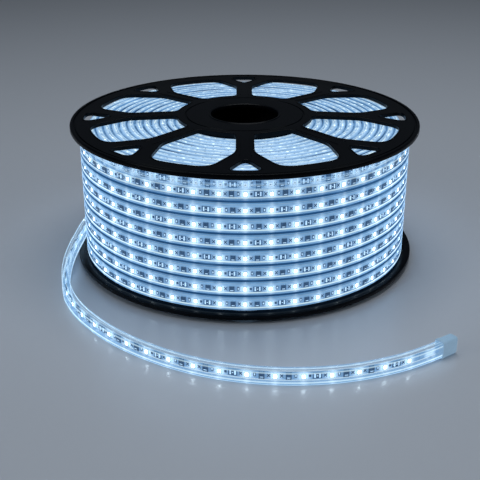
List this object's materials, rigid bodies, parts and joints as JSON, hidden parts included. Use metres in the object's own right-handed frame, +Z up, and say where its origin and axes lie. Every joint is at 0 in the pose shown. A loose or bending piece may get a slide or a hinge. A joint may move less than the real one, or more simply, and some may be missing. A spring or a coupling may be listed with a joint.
{
  "type": "reel of led strip light",
  "caption": "Round reel with two spoked flanges, full of clear-sleeved LED strip light, its free end laid round the front.",
  "frame": {"origin": "on the floor under the middle of the reel's bore", "axes": "+Z up along the reel's axis, -Y towards the side where the free end lies"},
  "size_m": [0.2626, 0.3288, 0.1064],
  "materials": {
    "black_plastic": "black moulded polystyrene with a soft sheen",
    "wound_strip": "clear sleeved strip in tight turns, lit cool white",
    "clear_sleeve": "clear flexible PVC, smooth",
    "strip_board": "white flexible circuit board",
    "led_chip": "cool white LED chip, lit"
  },
  "bodies": {
    "root": {"bottom_flange": "black_plastic", "top_flange": "black_plastic", "core_barrel": "black_plastic", "wound_strip": "wound_strip", "free_strip_sleeve": "clear_sleeve", "free_strip_board": "strip_board", "end_cap": "clear_sleeve", "led_chip_01": "led_chip", "led_chip_02": "led_chip", "led_chip_03": "led_chip", "led_chip_04": "led_chip", "led_chip_05": "led_chip", "led_chip_06": "led_chip", "led_chip_07": "led_chip", "led_chip_08": "led_chip", "led_chip_09": "led_chip", "led_chip_10": "led_chip", "led_chip_11": "led_chip", "led_chip_12": "led_chip", "led_chip_13": "led_chip", "led_chip_14": "led_chip", "led_chip_15": "led_chip", "led_chip_16": "led_chip", "led_chip_17": "led_chip", "led_chip_18": "led_chip", "led_chip_19": "led_chip", "led_chip_20": "led_chip", "led_chip_21": "led_chip", "led_chip_22": "led_chip", "led_chip_23": "led_chip", "led_chip_24": "led_chip", "led_chip_25": "led_chip", "led_chip_26": "led_chip", "led_chip_27": "led_chip", "led_chip_28": "led_chip", "led_chip_29": "led_chip", "led_chip_30": "led_chip"}
  },
  "joints": []
}
